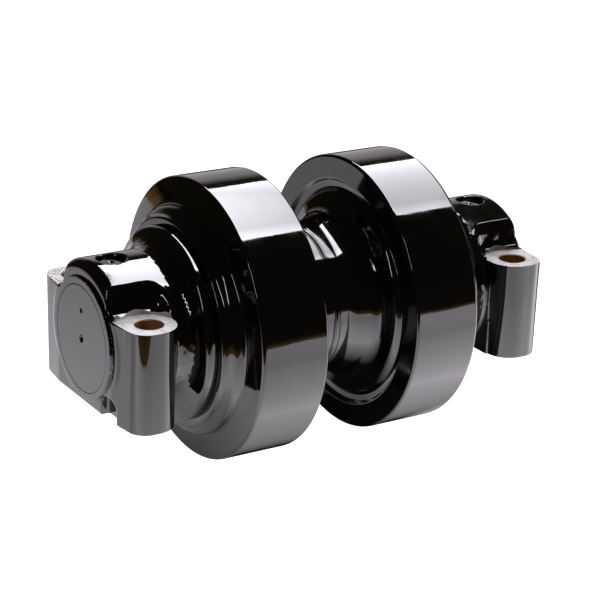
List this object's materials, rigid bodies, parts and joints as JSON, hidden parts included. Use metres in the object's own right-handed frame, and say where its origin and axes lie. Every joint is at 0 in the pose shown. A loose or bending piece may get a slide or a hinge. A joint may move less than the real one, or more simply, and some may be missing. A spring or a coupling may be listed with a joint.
{
  "type": "track roller",
  "caption": "Double-drum bottom track roller: turned shell on a fixed shaft, floating face seals and two bolt-on end collars.",
  "frame": {"origin": "mid-length of the roller, on the axis of its shaft", "axes": "+X along the shaft towards the end with the oil plug, +Z from the seats towards the bolt-head faces, -Y the near row of bolt holes"},
  "size_m": [0.341, 0.2, 0.2],
  "materials": {
    "black_enamel": "deep gloss black enamel over a forged and turned surface",
    "turned_steel": "ground shaft steel",
    "dark_steel": "hardened pin and plug steel, oiled",
    "bronze": "bearing bronze, bored",
    "seal_iron": "chilled iron with a lapped face",
    "nitrile_rubber": "moulded nitrile rubber"
  },
  "bodies": {
    "frame": {"shaft": "turned_steel", "oil_plug": "dark_steel", "collar_left": "black_enamel", "seal_ring_fixed_left": "seal_iron", "toric_ring_fixed_left": "nitrile_rubber", "shaft_o_ring_left": "nitrile_rubber", "lock_pin_left": "dark_steel", "collar_right": "black_enamel", "seal_ring_fixed_right": "seal_iron", "toric_ring_fixed_right": "nitrile_rubber", "shaft_o_ring_right": "nitrile_rubber", "lock_pin_right": "dark_steel"},
    "roller": {"roller_shell": "black_enamel", "bush_left": "bronze", "thrust_ring_left": "bronze", "seal_ring_rotating_left": "seal_iron", "toric_ring_rotating_left": "nitrile_rubber", "bush_right": "bronze", "thrust_ring_right": "bronze", "seal_ring_rotating_right": "seal_iron", "toric_ring_rotating_right": "nitrile_rubber"}
  },
  "joints": [
    {"name": "roller_spin", "type": "hinge", "parent": "frame", "child": "roller", "pos_m": [0, 0, 0], "axis": [1, 0, 0], "continuous": true}
  ]
}
